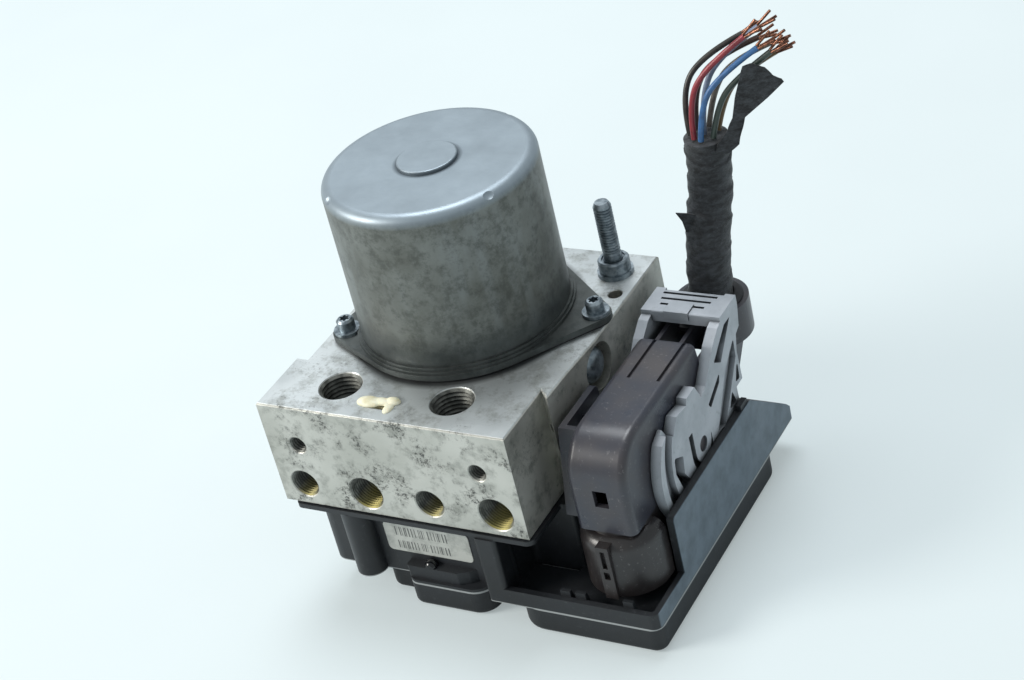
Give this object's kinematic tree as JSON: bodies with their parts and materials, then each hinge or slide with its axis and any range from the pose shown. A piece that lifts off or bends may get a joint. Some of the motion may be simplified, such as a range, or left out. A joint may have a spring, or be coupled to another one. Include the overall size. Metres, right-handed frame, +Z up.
{
  "type": "abs brake module",
  "caption": "Anti-lock brake hydraulic block with pipe ports, round pump motor, control unit below and a lever-locked harness plug ending in a cut wire bundle.",
  "frame": {"origin": "on the motor's axis, in the flat outer face of the control unit's cover, on which the part stands", "axes": "+Z up the motor's axis, -Y out of the four wheel-pipe ports, +X towards the harness plug"},
  "size_m": [0.1409, 0.1349, 0.151],
  "materials": {
    "block": "machined, stained",
    "steel": "zinc plated",
    "zinc_can": "dull passivated zinc",
    "spring_steel": "bright",
    "copper": "bare copper",
    "magnet": "sintered",
    "laminate": "laminated",
    "carbon": "pressed carbon",
    "brass": "tinned",
    "housing": "moulded, fine grain",
    "hood": "moulded, dusty",
    "lever": "moulded, light grey",
    "rubber": "moulded",
    "board": "solder resist",
    "resin": "moulded resin",
    "label": "printed film",
    "sealant": "dried compound",
    "tape": "cloth tape",
    "gloss_black": "glossy",
    "wire_black": "insulation",
    "wire_brown": "insulation",
    "wire_red": "insulation",
    "wire_blue": "insulation",
    "wire_grey": "insulation",
    "wire_white": "insulation",
    "wire_green": "insulation",
    "wire_yellow": "insulation"
  },
  "bodies": {
    "module": {"hydraulic_block": "block", "mounting_stud": "steel", "stud_collar": "steel", "motor_can": "zinc_can", "motor_gasket": "rubber", "motor_screws": "steel", "motor_magnets": "magnet", "brush_plate": "resin", "motor_brushes": "carbon", "motor_leads": "brass", "upper_bush": "brass", "lower_bearing": "spring_steel", "pump_plugs": "steel", "pump_pistons": "spring_steel", "pump_sleeves": "steel", "pump_springs": "spring_steel", "damper_caps": "steel", "inlet_valves": "spring_steel", "outlet_valves": "spring_steel", "valve_coils": "resin", "accumulator_caps": "steel", "accumulator_spring_left": "spring_steel", "accumulator_spring_right": "spring_steel", "ecu_housing": "housing", "ecu_cover": "housing", "cover_seal": "rubber", "housing_gasket": "rubber", "circuit_board": "board", "ecu_screws": "steel", "header_pins": "brass", "pressure_sensor": "steel", "label_plate": "label", "vent_cap": "gloss_black", "sealant_smear": "sealant"},
    "rotor": {"motor_shaft": "spring_steel", "armature_core": "laminate", "armature_windings": "copper", "commutator": "copper", "eccentric_ring": "spring_steel"},
    "accumulator_left": {"accumulator_piston_left": "block", "accumulator_seal_left": "rubber"},
    "accumulator_right": {"accumulator_piston_right": "block", "accumulator_seal_right": "rubber"},
    "plug": {"plug_body": "hood", "plug_hood": "hood", "plug_seal": "rubber", "plug_terminals": "brass", "outlet_grommet": "rubber", "harness_tape": "tape", "copper_ends": "copper", "wire_black": "wire_black", "wire_brown": "wire_brown", "wire_red": "wire_red", "wire_blue": "wire_blue", "wire_grey": "wire_grey", "wire_white": "wire_white", "wire_green": "wire_green", "wire_yellow": "wire_yellow"},
    "lever": {"lever": "lever"}
  },
  "joints": [
    {"name": "rotor_spin", "type": "hinge", "parent": "module", "child": "rotor", "pos_m": [0, 0, 0], "axis": [0, 0, 1], "continuous": true},
    {"name": "accumulator_left_slide", "type": "slide", "parent": "module", "child": "accumulator_left", "axis": [0, 0, -1], "range_m": [0, 0.006], "stiffness_N_per_m": 500, "springref_m": -0.002, "deforming": ["accumulator_spring_left"]},
    {"name": "accumulator_right_slide", "type": "slide", "parent": "module", "child": "accumulator_right", "axis": [0, 0, -1], "range_m": [0, 0.006], "stiffness_N_per_m": 500, "springref_m": -0.002, "deforming": ["accumulator_spring_right"]},
    {"name": "plug_slide", "type": "slide", "parent": "module", "child": "plug", "axis": [0, 0, 1], "range_m": [0, 0.0071]},
    {"name": "lever_swing", "type": "hinge", "parent": "plug", "child": "lever", "pos_m": [0.065, -0.005, 0.0403], "axis": [1, 0, 0], "range_deg": [0, 80]}
  ],
  "couplings": [
    {"joint": "plug_slide", "follows": "lever_swing", "m_per_rad": 0.005013}
  ]
}
